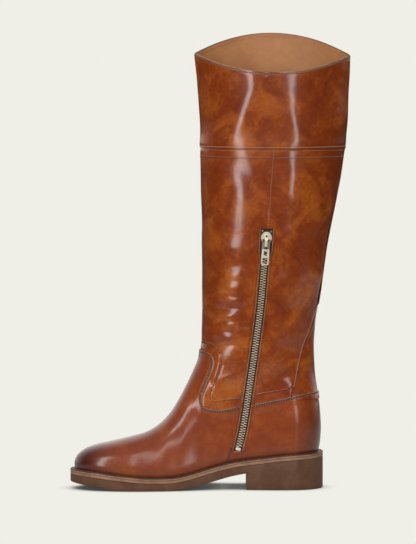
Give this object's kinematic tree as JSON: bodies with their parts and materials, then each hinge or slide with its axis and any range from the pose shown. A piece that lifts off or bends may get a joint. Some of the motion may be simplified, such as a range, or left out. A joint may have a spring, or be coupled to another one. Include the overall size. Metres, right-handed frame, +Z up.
{
  "type": "knee-high boot",
  "caption": "Knee-high leather riding boot, right foot: hollow upper, welted sole, low block heel and an inner-side zip with a swinging pull tab.",
  "frame": {"origin": "middle of the heel's ground face", "axes": "+X towards the back of the heel, so the toe points along -X; +Y towards the outer (lateral) side of the foot; +Z up the shaft"},
  "size_m": [0.2883, 0.0957, 0.4681],
  "materials": {
    "upper_leather": "glossy burnished cognac leather with mottling and fine creases",
    "lining": "matt tan lining leather",
    "welt_leather": "matt tan cut leather edge",
    "sole_rubber": "matt brown moulded rubber",
    "zip_tape": "dark brown woven tape",
    "zip_brass": "polished pale brass"
  },
  "bodies": {
    "boot": {"upper": "upper_leather", "insole": "lining", "welt": "welt_leather", "midsole": "welt_leather", "outsole": "sole_rubber", "heel": "sole_rubber", "zip_tape": "zip_tape", "zip_chain": "zip_brass", "zip_slider": "zip_brass", "zip_top_stop_front": "zip_brass", "zip_top_stop_back": "zip_brass", "zip_bottom_stop": "zip_brass"},
    "pull": {"zip_pull": "zip_brass"}
  },
  "joints": [
    {"name": "zip_pull_hinge", "type": "hinge", "parent": "boot", "child": "pull", "pos_m": [-0.02044, -0.04554, 0.24821], "axis": [-0.9976, -0.0118, 0.068], "range_deg": [0, 150]}
  ]
}
